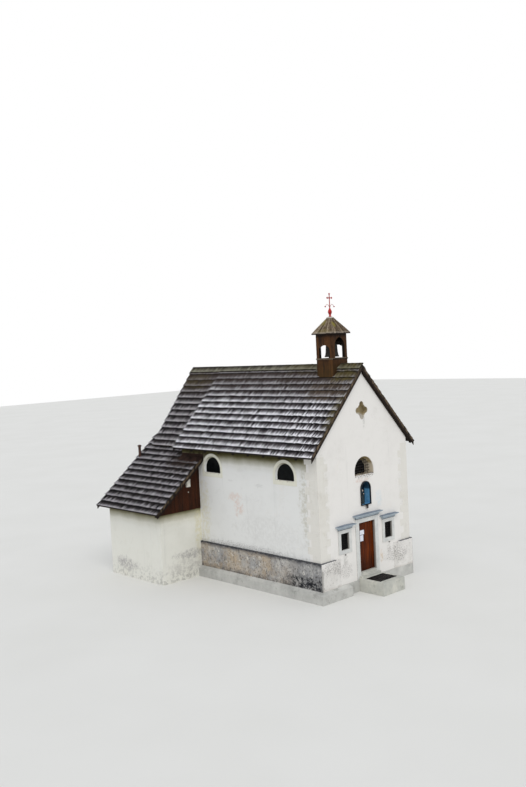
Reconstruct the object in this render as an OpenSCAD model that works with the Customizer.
// Small hillside chapel with a narrower chancel, a lean-to sacristy and a timber bell turret.
// Millimetres, +Z up. X runs across the front, Y runs back along the nave, and the
// origin is the middle of the front wall's face at the lowest ground beside the walls.

/* [Ground] */
// Height of the nave footing above the lowest ground
foot_h = 470; // [350:10:700]
// How far the footing ledge stands out from the plinth
ledge_w = 200; // [100:10:300]
// Fall of the ledge from the plinth to its edge
ledge_fall = 100; // [40:10:150]
// Where the ledge ends on the front, left of the door
ledge_end = 1350; // [1100:10:1800]
// Height of the floors above the footing
floor_h = 250; // [150:10:300]
// How far the footing carries the floor inside the walls
floor_seat = 120; // [80:10:200]

/* [Nave] */
// Outer width of the nave
nave_w = 5800; // [5200:10:6400]
// Outer length of the nave
nave_l = 8650; // [8300:10:9000]
// Thickness of the nave walls
wall_t = 600; // [500:10:650]
// Height of the plinth above the footing
plinth_h = 1136; // [900:1:1250]
// How far the plinth stands out from the walls
plinth_out = 80; // [40:5:120]
// Length of the plinth's return on the front, at each corner
plinth_return = 1150; // [800:10:1300]
// Length over which a return fades into the wall
plinth_fade = 350; // [200:10:500]

/* [Chancel] */
// Outer width of the chancel
chancel_w = 4740; // [4400:10:5000]
// Outer length of the chancel behind the nave
chancel_l = 2400; // [2200:10:2800]
// Thickness of the chancel walls
chancel_t = 550; // [450:10:600]
// Width of the chancel arch
arch_w = 3000; // [2400:10:3200]
// Height of the chancel arch above the floor
arch_h = 4300; // [3600:10:4600]

/* [Sacristy] */
// How far the sacristy reaches forward beside the nave
annex_before = 1140; // [1000:10:1400]
// How far the sacristy reaches behind the chancel
annex_behind = 440; // [400:10:600]
// How far the sacristy stands out from the nave wall
annex_w = 2343; // [2000:1:2700]
// Thickness of the sacristy walls
annex_t = 440; // [350:10:500]
// How far below the nave's wall head its roof meets the nave
annex_drop = 708; // [650:1:800]
// Height of the boarding over its side wall
annex_board_h = 386; // [340:1:420]
// Thickness of its boarding
gable_board_t = 40; // [30:1:50]
// How far the boarding stands out from its walls
gable_board_out = 20; // [10:1:25]
// Width of the inner doorway to the chancel
inner_door_w = 850; // [700:10:950]
// Height of the inner doorway
inner_door_h = 1950; // [1850:10:2050]

/* [Roofs] */
// Height of wall over the side windows, up to the roof boarding
eave_over = 695; // [650:5:760]
// Pitch of the nave roof in degrees
nave_pitch = 46.6; // [44:0.1:48.5]
// Pitch of the chancel roof in degrees
chancel_pitch = 52.3; // [50:0.1:54]
// Pitch of the sacristy roof in degrees
annex_pitch = 38.9; // [37:0.1:40]
// Overhang of the nave eaves
nave_eave = 470; // [350:10:600]
// Overhang of the chancel eaves
chancel_eave = 420; // [300:10:450]
// Overhang of the sacristy eave
annex_eave = 477; // [350:1:550]
// Overhang of the nave and chancel roofs at their gables
verge = 130; // [80:5:180]
// Overhang of the sacristy roof at its two ends
annex_verge = 400; // [300:10:450]
// Thickness of the shingle courses at their butts
shingle_t = 70; // [50:5:90]
// Height of the step from course to course
course_step = 42; // [25:1:50]
// Length of each course that shows
exposure = 350; // [300:5:400]
// Thickness of the roof boarding
board_t = 30; // [20:1:40]
// Width of the rafters
rafter_w = 120; // [90:5:140]
// Depth of the rafters
rafter_d = 150; // [120:5:170]
// Spacing of the nave's rafters
rafter_gap = 960; // [800:10:1100]
// Spacing of the chancel's rafters
chancel_rafter_gap = 750; // [650:10:850]
// Distance of a roof's first rafter from the wall before it
first_rafter = 300; // [200:10:400]
// Width of the ridge beams
beam_w = 160; // [120:10:200]
// Depth of the ridge beams
beam_d = 240; // [180:10:280]
// Width and height of the wall plates
plate_s = 140; // [100:10:160]
// Thickness of the ridge shingles
cap_t = 40; // [30:1:60]
// Width of the ridge shingles down each slope
cap_w = 300; // [200:10:330]
// How far the ridge shingles on the left reach past the ridge
cap_past = 100; // [60:5:120]
// Thickness of the verge boards
verge_board_t = 28; // [20:1:40]
// Depth of the verge boards below the shingles' top
verge_board_d = 185; // [150:5:220]
// Width of the flashing on the sacristy roof along the nave
flashing_w = 420; // [300:10:450]
// Height of the flashing's upstand against the nave
flashing_up = 80; // [50:5:120]
// Thickness of the flashing
flashing_t = 8; // [5:1:12]

/* [Bell turret] */
// Width of the turret on each side
turret_w = 925; // [800:5:980]
// Where the turret's front stands, behind the nave's front
turret_y = 1076; // [900:1:1200]
// Height of the turret's sill above the ridge
turret_sill_rise = 242; // [150:1:350]
// Height of the belfry from its sill to its eave
belfry_h = 1088; // [1000:1:1200]
// Height of the turret roof from its eave to its flat top
turret_roof_h = 690; // [600:1:800]
// Width of the turret roof's flat top
turret_flat_w = 210; // [150:5:260]
// Overhang of the turret roof
turret_eave = 130; // [100:5:220]
// Thickness of the turret's boards
turret_board = 45; // [35:1:60]
// Side of the turret's corner posts
turret_post = 145; // [90:5:160]
// Width of the turret's openings
turret_open_w = 630; // [450:5:650]
// Height of the front and rear openings to the point of the arch
turret_front_h = 890; // [700:5:920]
// Rise of the front and rear openings' pointed arch
turret_front_rise = 400; // [330:5:450]
// Height of the side openings to the top of the arch
turret_side_h = 560; // [480:5:700]
// Height of the metal cap on the turret roof
cap_h = 60; // [40:5:80]
// Height of the cross and its bulb above the cap
cross_l = 1016; // [900:1:1150]
// Height of the bulb with its neck
bulb_h = 440; // [380:5:480]
// Width of the bulb
bulb_w = 176; // [150:2:200]
// Length of the cross's arms from tip to tip
arm_w = 350; // [280:5:400]
// Distance of the arms below the cross's top
arm_drop = 210; // [180:5:240]
// Thickness of the cross's bars
cross_t = 26; // [20:1:32]

/* [Doorway] */
// Width of the doorway between its stone jambs
door_w = 1030; // [900:5:1150]
// Height of the doorway above its sill
door_h = 2100; // [1950:5:2200]
// Height of the door sill above the floor
sill_rise = 20; // [10:1:40]
// Width of the stone jambs on the front
jamb_w = 220; // [160:5:260]
// Depth of the stone jambs into the wall
jamb_d = 130; // [100:5:300]
// How far the dressed stone stands out from the wall
stone_out = 30; // [15:1:50]
// Width of the masonry behind the jambs that the leaf shuts against
rebate = 90; // [70:5:110]
// Thickness of the door's planks
leaf_t = 45; // [35:1:60]
// How far the leaf laps over the masonry at each side of the doorway
leaf_lap = 38; // [30:1:45]
// Number of planks in the door
plank_n = 6; // [4:1:8]
// Height of the lock above the foot of the leaf
lock_h = 1000; // [900:10:1100]
// Width of the landing before the door
landing_w = 1400; // [1200:10:1600]
// How far the landing reaches from the wall
landing_l = 1350; // [1100:10:1500]
// Height of the landing above the footing
landing_h = 60; // [20:5:90]
// Height of the step between landing and sill above the footing
step_h = 160; // [120:5:190]
// Tread of that step
tread = 150; // [120:5:200]

/* [Front windows] */
// Wall between the doorway's stones and the windows' stones
window_gap = 280; // [240:5:400]
// Width of the windows between their stones
window_w = 500; // [400:5:600]
// Height of the windows between their stones
window_h = 690; // [600:5:750]
// How far the windows' stones end below the doorway's stones
window_drop = 275; // [240:5:330]
// Width of the windows' stones
window_stone = 155; // [120:5:180]
// Depth of the windows' stones into the wall
window_stone_d = 80; // [60:5:220]
// Depth of the stop that the windows' panes stand behind
window_stop = 60; // [40:5:80]
// How far the cornices reach past the stones at each end
cornice_over = 150; // [100:5:170]
// Height of the cornices
cornice_h = 200; // [150:5:220]
// How far the cornices stand out from the wall
cornice_out = 200; // [150:5:240]
// Height of the stone between the doorway and its cornice
lintel_h = 180; // [140:5:220]

/* [Half-round windows] */
// Width of the front half-round window
lunette_w = 1240; // [1100:10:1300]
// Height of the front half-round window
lunette_h = 770; // [700:5:820]
// Wall between the niche and the front half-round window
lunette_gap = 305; // [250:5:400]
// How far the glass of the front one stands back
lunette_depth = 400; // [350:10:480]
// How much its splayed sides close in on each side
lunette_splay = 130; // [60:5:160]
// Width of the side half-round windows
side_lunette_w = 1120; // [1000:10:1200]
// Height of the side half-round windows
side_lunette_h = 740; // [680:5:780]
// How far the glass of the side ones stands back
side_lunette_depth = 80; // [60:10:300]
// How much their splayed sides close in on each side
side_lunette_splay = 50; // [20:5:80]
// Distance of the first side window's middle from the front
side_lunette_y1 = 1850; // [1750:10:2000]
// Distance of the second side window's middle before the sacristy
side_lunette_back = 1010; // [970:10:1200]
// Thickness of the window glass
glass_t = 10; // [6:1:14]

/* [Niche and gable opening] */
// Width of the niche
niche_w = 580; // [500:5:640]
// Height of the niche to the top of its arch
niche_h = 960; // [880:5:1000]
// Wall between the doorway's cornice and the niche
niche_gap = 350; // [300:5:400]
// Depth of the niche
niche_d = 300; // [240:5:360]
// Thickness of the niche's painted lining
lining_t = 25; // [15:1:35]
// How far the lining stands out from the wall as a hood
hood_out = 60; // [40:5:80]
// Height of the figure in the niche
figure_h = 620; // [500:5:680]
// Height of the gable opening's middle above the nave's wall head
foil_rise = 1280; // [1150:5:1400]
// Radius of the gable opening's middle
foil_r = 270; // [220:5:300]
// Radius of each of its four lobes
lobe_r = 135; // [110:5:150]
// Distance of the lobes from the middle
lobe_reach = 250; // [220:5:270]
// Depth of the gable opening
foil_d = 260; // [180:5:320]

/* [Fittings] */
// Distance of the stove pipe's middle behind the sacristy
pipe_out = 160; // [140:5:200]
// Outer diameter of the stove pipe
pipe_d = 130; // [100:5:150]
// Distance of the stove pipe from the middle of the chapel
pipe_x = 3200; // [3100:10:3400]
// Height of the stove pipe above the sacristy roof
pipe_rise = 550; // [400:10:650]
// Width of the lamp on the sacristy's front boarding
lamp_w = 210; // [160:5:260]
// Height of the lamp on the sacristy's front boarding
lamp_h = 330; // [260:5:380]
// How far the lamp stands out from the boarding
lamp_d = 90; // [60:5:120]
// Distance of the lamp's middle from the nave wall
lamp_side = 700; // [500:10:900]
// Height of the lamp's foot above the boarding's lower edge
lamp_rise = 1054; // [900:1:1200]

/* [Hidden] */
$fn = 48;

// Colours of the real materials
plaster = "#e8e4dc";
render_grey = "#b9b4a8";
stone = "#a9a9a4";
weathered = "#7a6f66";
brown_board = "#5a3424";
dark_timber = "#4b3a2e";
iron = "#2b2b2b";
orange_door = "#9a4a1c";
red_paint = "#a8322a";
glass_grey = "#39424a";
niche_blue = "#3f6f9f";
sheet_metal = "#6b4a44";

// Nave and chancel, half sizes and ends
nave_x = nave_w / 2;
nave_in = nave_x - wall_t;
chancel_x = chancel_w / 2;
chancel_in = chancel_x - chancel_t;
chancel_end = nave_l + chancel_l;
floor_z = foot_h + floor_h;
plinth_z = foot_h + plinth_h;
plinth_x = nave_x + plinth_out;
arch_z = floor_z + arch_h;
fit = 0.3;

// Doorway
sill_z = floor_z + sill_rise;
head_z = sill_z + door_h;
jamb_x = door_w / 2 + jamb_w;
jamb_y = jamb_d - stone_out;
rebate_x = door_w / 2 + rebate;
lintel_z = head_z + lintel_h;
split_z = head_z + rebate;
leaf_gap = 5;
leaf_foot_gap = 8;
leaf_head_gap = 20;
leaf_front = jamb_y + leaf_gap;
leaf_low = sill_z + leaf_foot_gap;
leaf_high = split_z - leaf_head_gap;
leaf_half = door_w / 2 + leaf_lap;
batten_t = 30;
batten_w = 140;
barrel_r = 16;
barrel_top = 50;
knuckle_lift = 2;
strap_t = 6;
hinge_x = leaf_half + 20;
hinge_y = leaf_front + leaf_t + batten_t;
hinge_z = [for (k = [0.14, 0.86]) leaf_low + k * (leaf_high - leaf_low)];

// Front, each opening placed over the one below it
window_x = jamb_x + window_gap + window_stone + window_w / 2;
window_top_z = lintel_z - window_drop;
window_z = window_top_z - window_stone - window_h;
niche_z = lintel_z + cornice_h + niche_gap;
lunette_z = niche_z + niche_h + lunette_gap;
wall_head_z = lunette_z + side_lunette_h + eave_over;
foil_z = wall_head_z + foil_rise;
side_lunette_y2 = nave_l - annex_before - side_lunette_back;
chancel_lunette_y = nave_l + (chancel_l - chancel_t) / 2;

// Roof planes: z of a point at distance x from the middle, depth below the shingles' top.
// The ridge is set to a whole millimetre, so that what stands on it seats exactly.
deck_d = shingle_t + board_t;
under_d = deck_d + fit;
ridge_z = round(wall_head_z + nave_x * tan(nave_pitch) + under_d / cos(nave_pitch));
function plane_z(pitch, x, depth) = ridge_z - depth / cos(pitch) - x * tan(pitch);
nave_edge = nave_x + nave_eave;
nave_corner = [nave_edge, plane_z(nave_pitch, nave_edge, 0)];
chancel_edge = chancel_x + chancel_eave;
chancel_corner = [chancel_edge, plane_z(chancel_pitch, chancel_edge, 0)];
tail_back = 200;
annex_tail_back = 300;
board_back = 60;
nave_tail = nave_edge - tail_back;
chancel_tail = chancel_edge - tail_back;
nave_board_x = nave_edge - board_back;
chancel_board_x = chancel_edge - board_back;
function nave_deck(x) = plane_z(nave_pitch, x, under_d);
function chancel_deck(x) = plane_z(chancel_pitch, x, under_d);
plate_notch = 30;
notch_past = 5;
beam_seat = 200;
function plate_z(pitch, half, t) = plane_z(pitch, half - t / 2, under_d + rafter_d) + plate_notch;
nave_plate_z = plate_z(nave_pitch, nave_x, wall_t);
chancel_plate_z = plate_z(chancel_pitch, chancel_x, chancel_t);
cover_x = deck_d / cos(nave_pitch) / (tan(chancel_pitch) - tan(nave_pitch));
nave_rafter_y = [
    for (y = [wall_t + first_rafter:rafter_gap:nave_l - wall_t - rafter_w]) y
];
chancel_rafter_y = [
    for (y = [nave_l + first_rafter:chancel_rafter_gap:chancel_end - chancel_t - rafter_w]) y
];

// Sacristy
annex_y = nave_l - annex_before;
annex_end = chancel_end + annex_behind;
annex_x = nave_x + annex_w;
annex_in = annex_x - annex_t;
annex_edge = annex_x + annex_eave;
annex_board_x = annex_edge - board_back;
annex_meet_z = wall_head_z - annex_drop;
function annex_z(x, depth) =
    annex_meet_z - (x - nave_x) * tan(annex_pitch) - depth / cos(annex_pitch);
annex_wall_z = annex_z(annex_x, under_d) - annex_board_h;
return_x = chancel_x - annex_t;
board_front = annex_y - gable_board_out;
board_rear = annex_end + gable_board_out;
board_side = annex_x + gable_board_out;
annex_plate_x = annex_x - annex_t / 2;
annex_plate_z = annex_z(annex_plate_x, under_d + rafter_d) + plate_notch;
annex_rafter_n = 4;
pipe_y = annex_end + pipe_out;

// Bell turret
turret_r = turret_w / 2;
turret_mid = turret_y + turret_r;
turret_far = turret_y + turret_w;
turret_sill_z = ridge_z + turret_sill_rise;
turret_eave_z = turret_sill_z + belfry_h;
turret_top_z = turret_eave_z + turret_roof_h;
cap_z = turret_top_z + cap_h;
cross_z = cap_z + cross_l;
sill_band = 60;
sill_out = 20;
belfry_z = turret_sill_z + sill_band;

// Extrudes a profile drawn in X and Z along Y
module along_y(y0, y1) {
    translate([0, y1, 0]) rotate([90, 0, 0]) linear_extrude(y1 - y0) children();
}

// Extrudes a profile drawn in Y and Z along X
module along_x(x0, x1) {
    translate([x0, 0, 0]) rotate([90, 0, 90]) linear_extrude(x1 - x0) children();
}

// Extrudes a plan from z0 to z1
module upright(z0, z1) {
    translate([0, 0, z0]) linear_extrude(z1 - z0) children();
}

// A block between two corners
module block(a, b) {
    translate(a) cube(b - a);
}

// Both sides of the middle
module both() {
    children();
    mirror([1, 0, 0]) children();
}

// Footing under the nave and chancel, with its ledge on the front and the left
module footing() {
    edge = plinth_x + ledge_w;
    past = 50;
    low = foot_h - ledge_fall * (ledge_w + past) / ledge_w;
    color(stone) difference() {
        upright(0, foot_h) difference() {
            union() {
                translate([-nave_x, 0]) square([nave_w, nave_l]);
                translate([-chancel_x, 0]) square([chancel_w, chancel_end]);
                translate([-edge, -plinth_out - ledge_w])
                    square([edge - ledge_end, annex_y + plinth_out + ledge_w]);
                translate([-plinth_x, -plinth_out]) square([2 * plinth_x, annex_y + plinth_out]);
                square([plinth_x, nave_l + plinth_out]);
                translate([-return_x, 0])
                    square([return_x + chancel_x + plinth_out, chancel_end + plinth_out]);
            }
            floor_plan(-floor_seat);
        }
        along_y(-edge, annex_y + edge)
            polygon([
                [-plinth_x, foot_h], [-edge - past, low],
                [-edge - past, foot_h + 1], [-plinth_x, foot_h + 1]
            ]);
        along_x(-edge - past, 0)
            polygon([
                [-plinth_out, foot_h], [-plinth_out - ledge_w - past, low],
                [-plinth_out - ledge_w - past, foot_h + 1], [-plinth_out, foot_h + 1]
            ]);
    }
}

// Plan of the space between the nave and chancel walls, grown by a margin
module floor_plan(margin) {
    translate([-nave_in - margin, wall_t - margin])
        square([2 * (nave_in + margin), nave_l - 2 * wall_t + 2 * margin]);
    translate([-chancel_in - margin, wall_t - margin])
        square([2 * (chancel_in + margin), chancel_end - wall_t - chancel_t + 2 * margin]);
}

// Return of the plinth on the front wall, fading into it
module plinth_front() {
    end = -nave_x + plinth_return;
    end_t = 8;
    upright(foot_h, plinth_z)
        polygon([
            [-plinth_x, -plinth_out], [-plinth_x, 0], [end, 0], [end, -end_t],
            [end - plinth_fade, -plinth_out]
        ]);
}

module plinth_left() {
    color(render_grey) union() {
        plinth_front();
        block([-plinth_x, -plinth_out, foot_h], [-nave_x, annex_y, plinth_z]);
    }
}

module plinth_right() {
    color(render_grey) union() {
        mirror([1, 0, 0]) plinth_front();
        block([nave_x, -plinth_out, foot_h], [plinth_x, nave_l + plinth_out, plinth_z]);
        block([chancel_x, nave_l, foot_h], [plinth_x, nave_l + plinth_out, plinth_z]);
        block([chancel_x, nave_l, foot_h], [chancel_x + plinth_out, chancel_end + plinth_out, plinth_z]);
        block(
            [-return_x, chancel_end, foot_h],
            [chancel_x + plinth_out, chancel_end + plinth_out, plinth_z]
        );
    }
}

// Cut for a front window's stones and the opening behind them
module window_cut(x) {
    half = window_w / 2 + window_stone;
    low = window_z - window_stone;
    block([x - half, -1, low], [x + half, window_stone_d, window_top_z]);
    block(
        [x - half + window_stop, 0, low + window_stop],
        [x + half - window_stop, wall_t + 1, window_top_z - window_stop]
    );
}

// Front wall beside the doorway, on the left
module front_wall_side() {
    difference() {
        upright(foot_h, split_z)
            polygon([
                [-nave_x, 0], [-jamb_x, 0], [-jamb_x, jamb_y],
                [-rebate_x, jamb_y], [-rebate_x, wall_t], [-nave_x, wall_t]
            ]);
        window_cut(-window_x);
    }
}

module front_wall_left() {
    color(plaster) front_wall_side();
}

module front_wall_right() {
    color(plaster) mirror([1, 0, 0]) front_wall_side();
}

// Gable outline of the nave from a height up to the roof boarding
module nave_gable(z) {
    polygon([
        [-nave_x, z], [nave_x, z], [nave_x, nave_deck(nave_x)], [0, nave_deck(0)],
        [-nave_x, nave_deck(nave_x)]
    ]);
}

// Half-round opening with splayed sides, cut from a face at y = 0 into +Y
module lunette_cut(w, h, depth, splay, through) {
    r = w / 2;
    straight = h - r;
    intersection() {
        translate([0, 0, straight]) rotate([-90, 0, 0]) union() {
            translate([0, 0, -2]) cylinder(r = r, h = 2);
            cylinder(r1 = r, r2 = r - splay, h = depth);
            translate([0, 0, depth]) cylinder(r = r - splay, h = through - depth + 2);
        }
        block([-w, -w, 0], [w, through + w, h + 1]);
    }
    upright(0, straight)
        polygon([
            [-r, -2], [-r, 0], [-r + splay, depth], [-r + splay, through + 2],
            [r - splay, through + 2], [r - splay, depth], [r, 0], [r, -2]
        ]);
}

// Pane that fills a half-round window
module lunette_pane(w, h, splay) {
    r = w / 2 - splay - fit;
    straight = h - w / 2;
    rotate([90, 0, 0]) translate([0, 0, -glass_t]) linear_extrude(glass_t) {
        intersection() {
            translate([0, straight]) circle(r = r);
            translate([-r, straight]) square([2 * r, r]);
        }
        translate([-r, fit]) square([2 * r, straight - fit]);
    }
}

// Round-headed outline of the niche, with its foot at the middle of the lower edge
module niche_outline(shrink) {
    r = niche_w / 2 - shrink;
    translate([0, niche_h - niche_w / 2]) circle(r = r);
    translate([-r, shrink]) square([2 * r, niche_h - niche_w / 2 - shrink]);
}

// Outline of the four-lobed recess in the gable
module foil_outline() {
    circle(r = foil_r);
    for (a = [0:90:270])
        rotate(a) translate([lobe_reach, 0]) circle(r = lobe_r);
}

module front_gable() {
    color(plaster) difference() {
        along_y(0, wall_t) nave_gable(split_z);
        block([-jamb_x, -1, split_z - 1], [jamb_x, jamb_y, lintel_z]);
        translate([0, 0, lunette_z])
            lunette_cut(lunette_w, lunette_h, lunette_depth, lunette_splay, wall_t);
        along_y(-1, niche_d + lining_t) translate([0, niche_z]) niche_outline(-lining_t);
        along_y(-1, foil_d) translate([0, foil_z]) foil_outline();
        along_y(wall_t - beam_seat, wall_t + 1) beam_pocket(nave_pitch);
    }
}

// Section of a ridge beam under the boarding of a roof
module ridge_beam_outline(pitch) {
    top = plane_z(pitch, beam_w / 2, under_d);
    polygon([
        [-beam_w / 2, top - beam_d], [beam_w / 2, top - beam_d], [beam_w / 2, top],
        [0, plane_z(pitch, 0, under_d)], [-beam_w / 2, top]
    ]);
}

// Pocket in the top of a gable that holds a ridge beam's end
module beam_pocket(pitch) {
    low = plane_z(pitch, beam_w / 2, under_d) - beam_d;
    translate([-beam_w / 2, low]) square([beam_w, beam_d + beam_w]);
}

// Section of a side wall with its plate seat and the part that closes the eave
module side_wall_outline(pitch, half, t, plate) {
    seat = (t + plate_s) / 2;
    polygon([
        [half - t, foot_h], [half, foot_h], [half, plane_z(pitch, half, under_d)],
        [half - t + seat, plane_z(pitch, half - t + seat, under_d)],
        [half - t + seat, plate - plate_s], [half - t, plate - plate_s]
    ]);
}

// Side wall of the nave, on the right
module nave_side_wall() {
    difference() {
        along_y(wall_t, nave_l - wall_t) side_wall_outline(nave_pitch, nave_x, wall_t, nave_plate_z);
        for (y = [side_lunette_y1, side_lunette_y2])
            translate([nave_x, y, lunette_z]) rotate([0, 0, 90])
                lunette_cut(side_lunette_w, side_lunette_h, side_lunette_depth, side_lunette_splay, wall_t);
        rafter_set(nave_pitch, nave_tail, nave_rafter_y, notch_past);
    }
}

module left_wall() {
    color(plaster) mirror([1, 0, 0]) nave_side_wall();
}

module right_wall() {
    color(plaster) nave_side_wall();
}

// Rear wall of the nave with the chancel arch
module chancel_arch_wall() {
    color(plaster) difference() {
        along_y(nave_l - wall_t, nave_l) nave_gable(foot_h);
        along_y(nave_l - wall_t - 1, nave_l + 1) {
            translate([0, arch_z - arch_w / 2]) circle(r = arch_w / 2);
            translate([-arch_w / 2, floor_z]) square([arch_w, arch_h - arch_w / 2]);
        }
        block([-chancel_in, nave_l - wall_t - 1, foot_h - 1], [chancel_in, nave_l + 1, floor_z]);
        along_y(nave_l - wall_t - 1, nave_l - wall_t + beam_seat) beam_pocket(nave_pitch);
        along_y(nave_l - beam_seat, nave_l + 1) ridge_beam_outline(chancel_pitch);
    }
}

// Side wall of the chancel, on the right
module chancel_side_wall(tail) {
    difference() {
        along_y(nave_l, chancel_end - chancel_t)
            side_wall_outline(chancel_pitch, chancel_x, chancel_t, chancel_plate_z);
        rafter_set(chancel_pitch, tail, chancel_rafter_y, notch_past);
    }
}

module chancel_left_wall() {
    y = (nave_l + chancel_end - chancel_t) / 2;
    color(plaster) difference() {
        mirror([1, 0, 0]) chancel_side_wall(chancel_x);
        block(
            [-chancel_x - 1, y - inner_door_w / 2, floor_z],
            [-chancel_in + 1, y + inner_door_w / 2, floor_z + inner_door_h]
        );
    }
}

module chancel_right_wall() {
    color(plaster) difference() {
        chancel_side_wall(chancel_tail);
        translate([chancel_x, chancel_lunette_y, lunette_z]) rotate([0, 0, 90])
            lunette_cut(side_lunette_w, side_lunette_h, side_lunette_depth, side_lunette_splay, chancel_t);
    }
}

module chancel_rear_wall() {
    color(plaster) difference() {
        along_y(chancel_end - chancel_t, chancel_end)
            polygon([
                [-chancel_x, foot_h], [chancel_x, foot_h], [chancel_x, chancel_deck(chancel_x)],
                [0, chancel_deck(0)], [-chancel_x, chancel_deck(chancel_x)]
            ]);
        along_y(chancel_end - chancel_t - 1, chancel_end - chancel_t + beam_seat)
            beam_pocket(chancel_pitch);
    }
}

// Floor of nave and chancel, and the floor of the sacristy
module floors() {
    bed = 150;
    color(stone) {
        upright(foot_h, floor_z) floor_plan(0);
        block([-annex_in, annex_y + annex_t, floor_z - bed], [-nave_x, nave_l, floor_z]);
        block([-annex_in, nave_l, floor_z - bed], [-chancel_x, annex_end - annex_t, floor_z]);
    }
}

module annex_front_wall() {
    color(plaster) block([-annex_x, annex_y, 0], [-nave_x, annex_y + annex_t, annex_wall_z]);
}

// Side wall, stepped back behind the boarding, with the plate on its head
module annex_side_wall() {
    plate_low = annex_plate_z - plate_s;
    inner = -board_side + gable_board_t;
    color(plaster) difference() {
        along_y(annex_y + annex_t, annex_end - annex_t)
            polygon([
                [-annex_in, 0], [-annex_x, 0], [-annex_x, annex_wall_z], [inner, annex_wall_z],
                [inner, plate_low], [-annex_in, plate_low]
            ]);
        annex_rafter_set(notch_past);
    }
}

module annex_rear_wall() {
    color(plaster) block([-annex_x, annex_end - annex_t, 0], [-return_x, annex_end, annex_wall_z]);
}

// Outline of the boarding under the sacristy roof between two distances from the middle
module annex_gable(x0, x1) {
    polygon([
        [-x1, annex_wall_z], [-x0, annex_wall_z], [-x0, annex_z(x0, under_d)], [-x1, annex_z(x1, under_d)]
    ]);
}

// Boarding of the two gables, of the side under the eave and of the corner behind the chancel
module annex_gable_boards() {
    color(brown_board) difference() {
        union() {
            along_y(board_front, board_front + gable_board_t) annex_gable(nave_x, board_side);
            along_y(board_front, board_rear) annex_gable(board_side - gable_board_t, board_side);
            along_y(board_rear - gable_board_t, board_rear) annex_gable(return_x, board_side);
            along_y(chancel_end, board_rear) annex_gable(return_x, return_x + gable_board_t);
        }
        annex_rafter_set(notch_past);
    }
}

// Point of a slope, s up from its eave corner and d below its top plane
function on_slope(pitch, corner, s, d) =
    [corner[0] - s * cos(pitch) - d * sin(pitch), corner[1] + s * sin(pitch) - d * cos(pitch)];

// Length of one course where whole courses fill a slope
function course_l(slope) = slope / round(slope / exposure);

// Stepped upper edge of the courses, from the eave corner up the slope. Each course is drawn
// over a share of its length, the whole or only the part that can be seen from above
function course_line(pitch, corner, slope, share) = [
    for (i = [0:round(slope / exposure) - 1]) each [
        on_slope(pitch, corner, i * course_l(slope), 0),
        on_slope(pitch, corner, (i + share) * course_l(slope), share * course_step)
    ]
];

// Section of a slope's shingle courses and boarding, from x_in out to the eave corner
module slope_section(pitch, x_in, corner) {
    slope = (corner[0] - x_in) / cos(pitch);
    setback = 40;
    difference() {
        polygon(concat(
            course_line(pitch, corner, slope, 1),
            [
                for (p = [[slope, deck_d], [setback, deck_d], [setback, shingle_t], [0, shingle_t]])
                    on_slope(pitch, corner, p[0], p[1])
            ]
        ));
        translate([x_in - slope, corner[1] - slope]) square([slope, 3 * slope]);
    }
}

module nave_roof() {
    difference() {
        along_y(-verge, nave_l + verge) slope_section(nave_pitch, 0, nave_corner);
        nave_verge_board(fit);
    }
}

module nave_roof_left() {
    color(weathered) mirror([1, 0, 0]) nave_roof();
}

module nave_roof_right() {
    color(weathered) nave_roof();
}

module chancel_roof() {
    difference() {
        along_y(nave_l, chancel_end + verge) slope_section(chancel_pitch, 0, chancel_corner);
        block([-1, nave_l - 1, 0], [cover_x, nave_l + verge, ridge_z + 1]);
        chancel_verge_board(chancel_board_x, fit);
    }
}

module chancel_roof_left() {
    color(weathered) mirror([1, 0, 0]) chancel_roof();
}

module chancel_roof_right() {
    color(weathered) chancel_roof();
}

module annex_roof() {
    color(weathered) difference() {
        mirror([1, 0, 0]) along_y(annex_y - annex_verge, annex_end + annex_verge)
            slope_section(annex_pitch, return_x, [annex_edge, annex_z(annex_edge, 0)]);
        block([-nave_x, 0, 0], [0, nave_l, ridge_z]);
        block([-chancel_x, 0, 0], [0, chancel_end, ridge_z]);
        translate([-pipe_x, pipe_y, 0]) cylinder(r = pipe_d / 2 + fit, h = ridge_z);
        annex_verge_boards(fit);
    }
}

// Ridge shingles on one slope, lying on the highest course and reaching past the ridge
module ridge_cap(pitch, corner, past) {
    slope = corner[0] / cos(pitch);
    fall = course_step / course_l(slope);
    low_d = course_step - fall * cap_w - fit;
    over = max(past, cap_t + course_step);
    high_d = course_step + fall * over - fit;
    intersection() {
        polygon([
            for (p = [
                [slope - cap_w, low_d], [slope - cap_w, low_d - cap_t],
                [slope + over, high_d - cap_t], [slope + over, high_d]
            ]) on_slope(pitch, corner, p[0], p[1])
        ]);
        translate([-past, 0]) square([corner[0] + past, 2 * ridge_z]);
    }
}

module ridge_row(past) {
    along_y(-verge, turret_y) ridge_cap(nave_pitch, nave_corner, past);
    along_y(turret_far, nave_l + verge) ridge_cap(nave_pitch, nave_corner, past);
    along_y(nave_l + verge, chancel_end + verge) ridge_cap(chancel_pitch, chancel_corner, past);
}

module ridge_shingles() {
    color(weathered) {
        ridge_row(0);
        mirror([1, 0, 0]) ridge_row(cap_past);
    }
}

// Outline of a verge board, from the ridge down to a distance from the middle
module verge_outline(pitch, x_end, play) {
    top = shingle_t + fit - play;
    polygon([
        [0, plane_z(pitch, 0, top)], [x_end, plane_z(pitch, x_end, top)],
        [x_end, plane_z(pitch, x_end, verge_board_d)], [0, plane_z(pitch, 0, verge_board_d)]
    ]);
}

// Board on the boarding's ends at the front of the nave
module nave_verge_board(play) {
    along_y(-verge - play, -verge + verge_board_t) verge_outline(nave_pitch, nave_board_x, play);
}

// Board on the boarding's ends at the rear of the chancel
module chancel_verge_board(x_end, play) {
    along_y(chancel_end + verge - verge_board_t, chancel_end + verge + play)
        verge_outline(chancel_pitch, x_end, play);
}

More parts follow.
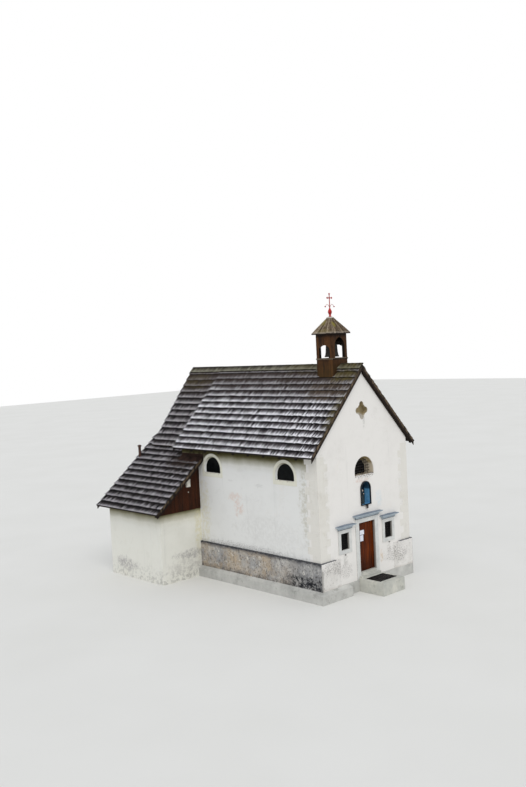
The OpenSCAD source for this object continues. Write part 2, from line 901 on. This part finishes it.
// Boards on the boarding's ends at the front and the rear of the sacristy roof
module annex_verge_boards(play) {
    top = shingle_t + fit - play;
    front = annex_y - annex_verge;
    rear = annex_end + annex_verge;
    for (k = [
        [front - play, front + verge_board_t, nave_x], [rear - verge_board_t, rear + play, return_x]
    ])
        along_y(k[0], k[1])
            polygon([
                [-k[2], annex_z(k[2], top)], [-annex_board_x, annex_z(annex_board_x, top)],
                [-annex_board_x, annex_z(annex_board_x, verge_board_d)],
                [-k[2], annex_z(k[2], verge_board_d)]
            ]);
}

module verge_boards() {
    color(brown_board) {
        annex_verge_boards(0);
        both() nave_verge_board(0);
        chancel_verge_board(chancel_board_x, 0);
        mirror([1, 0, 0]) chancel_verge_board(chancel_x, 0);
    }
}

// Rafters of one slope under the boarding, from the ridge beam out to their tails,
// or the notches for them in a wall, which reach a little past its faces
module rafter_set(pitch, tail, places, past) {
    end = tail + past;
    low_d = under_d + rafter_d + (past > 0 ? fit : 0);
    for (y = places)
        along_y(y - rafter_w / 2, y + rafter_w / 2)
            polygon([
                [beam_w / 2, plane_z(pitch, beam_w / 2, under_d - past)],
                [end, plane_z(pitch, end, under_d - past)],
                [end, plane_z(pitch, end, low_d)],
                [beam_w / 2, plane_z(pitch, beam_w / 2, low_d)]
            ]);
}

module nave_rafters() {
    color(dark_timber) difference() {
        both() rafter_set(nave_pitch, nave_tail, nave_rafter_y, 0);
        both() nave_plate();
    }
}

module chancel_rafters() {
    color(dark_timber) difference() {
        union() {
            rafter_set(chancel_pitch, chancel_tail, chancel_rafter_y, 0);
            mirror([1, 0, 0]) rafter_set(chancel_pitch, chancel_x, chancel_rafter_y, 0);
        }
        both() chancel_plate();
    }
}

module nave_plate() {
    x = nave_x - wall_t / 2;
    block(
        [x - plate_s / 2, wall_t, nave_plate_z - plate_s],
        [x + plate_s / 2, nave_l - wall_t, nave_plate_z]
    );
}

module chancel_plate() {
    x = chancel_x - chancel_t / 2;
    block(
        [x - plate_s / 2, nave_l, chancel_plate_z - plate_s],
        [x + plate_s / 2, chancel_end - chancel_t, chancel_plate_z]
    );
}

// Ridge beams and wall plates
module roof_beams() {
    color(dark_timber) {
        along_y(wall_t - beam_seat, nave_l - wall_t + beam_seat) ridge_beam_outline(nave_pitch);
        along_y(nave_l - beam_seat, chancel_end - chancel_t + beam_seat)
            ridge_beam_outline(chancel_pitch);
        both() nave_plate();
        both() chancel_plate();
        annex_plate();
    }
}

module annex_plate() {
    block(
        [-annex_plate_x - plate_s / 2, annex_y + annex_t, annex_plate_z - plate_s],
        [-annex_plate_x + plate_s / 2, annex_end - annex_t, annex_plate_z]
    );
}

// Sacristy rafters from their tails up to the nave and the chancel
module annex_rafter_set(past) {
    tail = annex_edge - annex_tail_back;
    low_d = under_d + rafter_d + (past > 0 ? fit : 0);
    first = annex_y + annex_t + first_rafter - rafter_w;
    last = annex_end - annex_t - first_rafter;
    for (i = [0:annex_rafter_n - 1]) {
        y = first + i * (last - first) / (annex_rafter_n - 1);
        top = y + rafter_w / 2 < nave_l ? nave_x : chancel_x;
        along_y(y - rafter_w / 2, y + rafter_w / 2)
            polygon([
                [-tail, annex_z(tail, under_d - past)], [-top, annex_z(top, under_d - past)],
                [-top, annex_z(top, low_d)], [-tail, annex_z(tail, low_d)]
            ]);
    }
}

module annex_rafters() {
    color(dark_timber) difference() {
        annex_rafter_set(0);
        annex_plate();
    }
}

// Boarded box that carries the belfry, cut to the courses it stands on
module turret_base() {
    inner = turret_r - turret_board;
    low = floor(plane_z(nave_pitch, turret_r, shingle_t));
    slope = nave_edge / cos(nave_pitch);
    seen = 1 / (1 + course_step / course_l(slope) * tan(nave_pitch));
    color(dark_timber) union() {
        difference() {
            block([-turret_r, turret_y, low], [turret_r, turret_far, turret_sill_z]);
            block(
                [-inner, turret_y + turret_board, low - 1],
                [inner, turret_far - turret_board, turret_sill_z + 1]
            );
            both() along_y(turret_y - 1, turret_far + 1) intersection() {
                polygon(concat(
                    course_line(nave_pitch, nave_corner, slope, seen),
                    [[-turret_r, 0], [nave_edge, 0]]
                ));
                square([nave_edge, 2 * ridge_z]);
            }
        }
        block(
            [-turret_r - sill_out, turret_y - sill_out, turret_sill_z],
            [turret_r + sill_out, turret_far + sill_out, belfry_z]
        );
    }
}

// Round-headed opening outline, standing on z = 0
module arch_outline(w, h, rise) {
    r = (rise * rise + w * w / 4) / (2 * rise);
    translate([-w / 2, 0]) square([w, h - rise]);
    intersection() {
        translate([0, h - r]) circle(r = r);
        translate([-w / 2, h - rise - 1]) square([w, rise + 2]);
    }
}

// Pointed opening outline of two arcs, standing on z = 0
module pointed_outline(w, h, rise) {
    r = (rise * rise + w * w / 4) / w;
    translate([-w / 2, 0]) square([w, h - rise]);
    intersection() {
        translate([w / 2 - r, h - rise]) circle(r = r);
        translate([r - w / 2, h - rise]) circle(r = r);
        translate([-w / 2, h - rise - 1]) square([w, rise + 1]);
    }
}

// Corner posts with arched boards between them
module turret_belfry() {
    color(dark_timber) difference() {
        block([-turret_r, turret_y, belfry_z], [turret_r, turret_far, turret_eave_z]);
        block(
            [-turret_r + turret_board, turret_y + turret_post, belfry_z - 1],
            [turret_r - turret_board, turret_far - turret_post, turret_eave_z + 1]
        );
        block(
            [-turret_r + turret_post, turret_y + turret_board, belfry_z - 1],
            [turret_r - turret_post, turret_far - turret_board, turret_eave_z + 1]
        );
        along_y(turret_y - 1, turret_far + 1) translate([0, belfry_z - 1])
            pointed_outline(turret_open_w, turret_front_h, turret_front_rise);
        along_x(-turret_r - 1, turret_r + 1) translate([turret_mid, belfry_z - 1])
            arch_outline(turret_open_w, turret_side_h, turret_open_w / 4);
    }
}

// Profile of the turret roof: a board's edge, a flatter foot and the steeper upper part
function turret_profile(side) = [
    [side * (turret_r + turret_eave), 0], [side * (turret_r + turret_eave), 35],
    [side * turret_r * 0.92, turret_roof_h * 0.38], [side * turret_flat_w / 2, turret_roof_h]
];

module square_roof(right, left) {
    half = turret_r + turret_eave;
    translate([0, turret_mid, 0]) intersection() {
        along_y(-half, half) polygon(concat(right, left));
        along_x(-half, half) polygon(concat(right, left));
    }
}

// Square roof with a flared eave, from two crossing profiles
module turret_roof() {
    left = turret_profile(-1);
    color(weathered) translate([0, 0, turret_eave_z])
        square_roof(turret_profile(1), [for (i = [3:-1:0]) left[i]]);
}

// Wrought cross with clover ends, on a bulb that stands on the turret's cap
module roof_cross() {
    arm_z = cross_z - arm_drop;
    clover_r = 34;
    r = bulb_w / 2;
    h = bulb_h;
    color(red_paint) translate([0, turret_mid, 0]) union() {
        translate([0, 0, cap_z]) rotate_extrude() polygon([
            [0, 0], [r * 0.68, 0], [r * 0.57, h * 0.09], [r * 0.43, h * 0.16], [r * 0.8, h * 0.3],
            [r, h * 0.43], [r * 0.91, h * 0.57], [r * 0.57, h * 0.7], [r * 0.27, h * 0.86],
            [cross_t / 2, h], [0, h]
        ]);
        along_y(-cross_t / 2, cross_t / 2) {
            translate([-cross_t / 2, cap_z + h - cross_t]) square([cross_t, cross_l - h]);
            translate([-arm_w / 2, arm_z - cross_t / 2]) square([arm_w, cross_t]);
            for (p = [
                [0, cross_z - 1.22 * clover_r], [1.22 * clover_r - arm_w / 2, arm_z],
                [arm_w / 2 - 1.22 * clover_r, arm_z]
            ])
                translate(p) clover(clover_r);
            translate([0, arm_z]) circle(r = 1.24 * clover_r);
        }
    }
}

// Three small round lobes round a point
module clover(r) {
    for (a = [0:90:270])
        rotate(a) translate([r * 0.6, 0]) circle(r = r * 0.62);
}

// Stone frame of the doorway
module door_surround() {
    color(stone) along_y(-stone_out, jamb_y) difference() {
        translate([-jamb_x, foot_h]) square([2 * jamb_x, lintel_z - foot_h]);
        translate([-door_w / 2, foot_h - 1]) square([door_w, head_z - foot_h + 1]);
    }
}

// Sill in the doorway, the step before it and the landing that reaches the ground
module doorstep() {
    half = door_w / 2;
    wide = half + jamb_w / 2;
    color(stone) union() {
        block([-half, -stone_out, foot_h], [half, jamb_y, sill_z]);
        block([-rebate_x, jamb_y, foot_h], [rebate_x, wall_t, sill_z]);
        block([-wide, -stone_out - tread, foot_h], [wide, -stone_out, foot_h + step_h]);
        block([-landing_w / 2, -landing_l, 0], [landing_w / 2, -plinth_out, foot_h]);
        block([-landing_w / 2, -landing_l, foot_h], [landing_w / 2, -stone_out, foot_h + landing_h]);
    }
}

// Planked door leaf, shut, with its battens on the inner side
module door_leaf() {
    plank = 2 * leaf_half / plank_n;
    groove = 8;
    rail_rise = 300;
    rail_z = leaf_low + rail_rise;
    batten_x = leaf_half - 60;
    color(orange_door) difference() {
        union() {
            block([-leaf_half, leaf_front, leaf_low], [leaf_half, leaf_front + leaf_t, leaf_high]);
            for (z = hinge_z)
                block(
                    [-batten_x, leaf_front + leaf_t, z - batten_w / 2],
                    [batten_x, hinge_y, z + batten_w / 2]
                );
        }
        for (i = [1:plank_n - 1])
            translate([-leaf_half + i * plank, leaf_front, leaf_low - 1]) rotate([0, 0, 45])
                translate([-groove / 2, -groove / 2, 0])
                    cube([groove, groove, leaf_high - leaf_low + 2]);
        block(
            [-leaf_half - 1, leaf_front - 1, rail_z],
            [leaf_half + 1, leaf_front + groove / 2, rail_z + groove]
        );
    }
}

// Strap hinges and the lock with its handles, all on the leaf
module door_ironwork() {
    strap_end = -leaf_half + 250;
    lock_x = -leaf_half + 90;
    lock_z = leaf_low + lock_h;
    case_w = 120;
    case_h = 160;
    case_d = 30;
    plate_w = 36;
    plate_h = 180;
    plate_t = 4;
    stem_r = 10;
    stem_l = 45;
    grip_l = 110;
    back = leaf_front + leaf_t;
    color(iron) {
        for (z = hinge_z) {
            block([strap_end, hinge_y, z + knuckle_lift], [hinge_x, hinge_y + strap_t, z + barrel_top]);
            translate([hinge_x, hinge_y + barrel_r, z]) cylinder(r = barrel_r, h = barrel_top);
        }
        translate([lock_x, 0, lock_z]) union() {
            block([-case_w / 2, back, -case_h / 2], [case_w / 2, back + case_d, case_h / 2]);
            along_y(back + case_d, back + case_d + stem_l) circle(r = stem_r);
            block([-stem_r, back + case_d + stem_l, -stem_r],
                [grip_l, back + case_d + stem_l + stem_r, stem_r]);
        }
        translate([lock_x, 0, lock_z]) union() {
            block([-plate_w / 2, leaf_front - plate_t, -plate_h / 2],
                [plate_w / 2, leaf_front, plate_h / 2]);
            along_y(leaf_front - plate_t - stem_l, leaf_front - plate_t) circle(r = stem_r);
            block([-stem_r, leaf_front - plate_t - stem_l - stem_r, -stem_r],
                [grip_l, leaf_front - plate_t - stem_l, stem_r]);
        }
    }
}

// Hooks in the wall that the strap hinges turn on
module door_pintles() {
    hook_low = -60;
    shank_low = -58;
    shank_top = -20;
    color(iron)
        for (z = hinge_z)
            translate([hinge_x, hinge_y + barrel_r, z]) union() {
                translate([0, 0, hook_low]) cylinder(r = barrel_r, h = -hook_low - fit);
                block([0, -barrel_r, shank_low], [rebate_x - hinge_x, barrel_r, shank_top]);
            }
}

// Stone frames of the two small front windows
module window_surrounds() {
    half = window_w / 2 + window_stone;
    color(stone) both() translate([window_x, 0, window_z])
        along_y(-stone_out, window_stone_d) difference() {
            translate([-half, -window_stone]) square([2 * half, window_h + 2 * window_stone]);
            translate([-window_w / 2, 0]) square([window_w, window_h]);
        }
}

// Moulded cornice with mitred ends, its lower edge at z = 0 against the wall
module cornice(w) {
    out = cornice_out;
    h = cornice_h;
    steps = [
        for (a = [0:15:90]) [out * 0.35 + out * 0.45 * (1 - cos(a)), h * 0.2 + h * 0.4 * sin(a)]
    ];
    function outline(shift) = concat(
        [[0, 0], [shift + out * 0.25, 0], [shift + out * 0.35, h * 0.1]],
        [for (p = steps) [shift + p[0], p[1]]],
        [[shift + out * 0.86, h * 0.66], [shift + out, h * 0.7], [shift + out, h * 0.88], [0, h]]
    );
    intersection() {
        mirror([0, 1, 0]) along_x(-w / 2, w / 2) polygon(outline(0));
        both() along_y(-out - 1, 0) polygon(outline(w / 2 - out));
    }
}

module cornices() {
    color(stone) {
        translate([0, 0, lintel_z]) cornice(2 * (jamb_x + cornice_over));
        both() translate([window_x, 0, window_top_z])
            cornice(window_w + 2 * (window_stone + cornice_over));
    }
}

// Panes behind the stones and in the half-round windows
module window_glass() {
    past = window_stone - window_stop - fit;
    half = window_w / 2 + past;
    low = window_z - past;
    high = window_z + window_h + past;
    color(glass_grey) {
        both() block(
            [window_x - half, window_stone_d, low], [window_x + half, window_stone_d + glass_t, high]
        );
        translate([0, lunette_depth, lunette_z]) lunette_pane(lunette_w, lunette_h, lunette_splay);
        both() for (y = [side_lunette_y1, side_lunette_y2])
            translate([nave_x - side_lunette_depth, y, lunette_z]) rotate([0, 0, 90])
                lunette_pane(side_lunette_w, side_lunette_h, side_lunette_splay);
        translate([chancel_x - side_lunette_depth, chancel_lunette_y, lunette_z])
            rotate([0, 0, 90])
                lunette_pane(side_lunette_w, side_lunette_h, side_lunette_splay);
    }
}

// Painted lining of the niche with the hood that stands out from the wall
module niche_lining() {
    color(niche_blue) translate([0, 0, niche_z]) union() {
        along_y(-hood_out, niche_d + lining_t) difference() {
            niche_outline(-lining_t);
            niche_outline(0);
        }
        along_y(niche_d, niche_d + lining_t) niche_outline(-lining_t);
    }
}

// Robed figure on a small base
module niche_figure() {
    head_r = figure_h * 0.075;
    color("#d8d2c4") translate([0, niche_d * 0.55, niche_z]) union() {
        cylinder(r = figure_h * 0.16, h = figure_h * 0.06);
        rotate_extrude() polygon([
            for (p = [
                [0, 0.05], [0.14, 0.05], [0.135, 0.2], [0.12, 0.4], [0.105, 0.55], [0.13, 0.68],
                [0.125, 0.76], [0.07, 0.81], [0.045, 0.84], [0.04, 0.88], [0, 0.88]
            ]) p * figure_h
        ]);
        translate([0, 0, figure_h - head_r * 1.25]) sphere(r = head_r);
    }
}

// Box lamp on the sacristy boarding and the small lamp under the niche
module wall_lamps() {
    x = nave_x + lamp_side;
    low = annex_wall_z + lamp_rise;
    small_r = 45;
    small_h = 100;
    arm = 18;
    color("#d9d9d4") {
        block([-x - lamp_w / 2, board_front - lamp_d, low], [-x + lamp_w / 2, board_front, low + lamp_h]);
        translate([0, 0, niche_z - lining_t - small_h - arm]) union() {
            block([-arm, -small_r - arm, small_h - 2 * arm], [arm, 0, small_h - arm]);
            translate([0, -2 * small_r, 0]) cylinder(r = small_r, h = small_h);
        }
    }
}

// Stove pipe through the rear verge, with its elbow into the gable boarding
module stove_pipe() {
    r = pipe_d / 2;
    foot = annex_z(pipe_x, 0);
    low = foot - 5 * pipe_d;
    rim_h = 60;
    rim_out = 30;
    color(sheet_metal) translate([-pipe_x, 0, 0]) union() {
        translate([0, pipe_y, low]) cylinder(r = r, h = foot + pipe_rise - low);
        translate([0, 0, low + r]) along_y(board_rear, pipe_y) circle(r = r);
        translate([0, pipe_y, foot + pipe_rise - rim_h]) cylinder(r = r + rim_out, h = rim_h);
    }
}

// Sheet metal: the flashing where the sacristy roof meets the nave, and the turret's cap
module flashings() {
    out = nave_x + flashing_w;
    lie = fit;
    foot = turret_flat_w / 2 + 15;
    head = bulb_w * 0.35;
    side = [[foot, 0], [foot, cap_h / 3], [head, cap_h]];
    color(sheet_metal) {
        along_y(annex_y - annex_verge, nave_l)
            polygon([
                [-nave_x, annex_z(nave_x, -lie)], [-out, annex_z(out, -lie)],
                [-out, annex_z(out, -lie - flashing_t)],
                [-nave_x - flashing_t, annex_z(nave_x + flashing_t, -lie - flashing_t)],
                [-nave_x - flashing_t, annex_z(nave_x, 0) + flashing_up],
                [-nave_x, annex_z(nave_x, 0) + flashing_up]
            ]);
        translate([0, 0, turret_top_z])
            square_roof(side, [for (i = [2:-1:0]) [-side[i][0], side[i][1]]]);
    }
}

footing();
plinth_left();
plinth_right();
front_wall_left();
front_wall_right();
front_gable();
left_wall();
right_wall();
chancel_arch_wall();
chancel_left_wall();
chancel_right_wall();
chancel_rear_wall();
floors();
annex_front_wall();
annex_side_wall();
annex_rear_wall();
annex_gable_boards();
nave_roof_left();
nave_roof_right();
chancel_roof_left();
chancel_roof_right();
annex_roof();
ridge_shingles();
verge_boards();
roof_beams();
nave_rafters();
chancel_rafters();
annex_rafters();
turret_base();
turret_belfry();
turret_roof();
roof_cross();
door_surround();
doorstep();
door_leaf();
door_ironwork();
door_pintles();
window_surrounds();
cornices();
window_glass();
niche_lining();
niche_figure();
wall_lamps();
stove_pipe();
flashings();
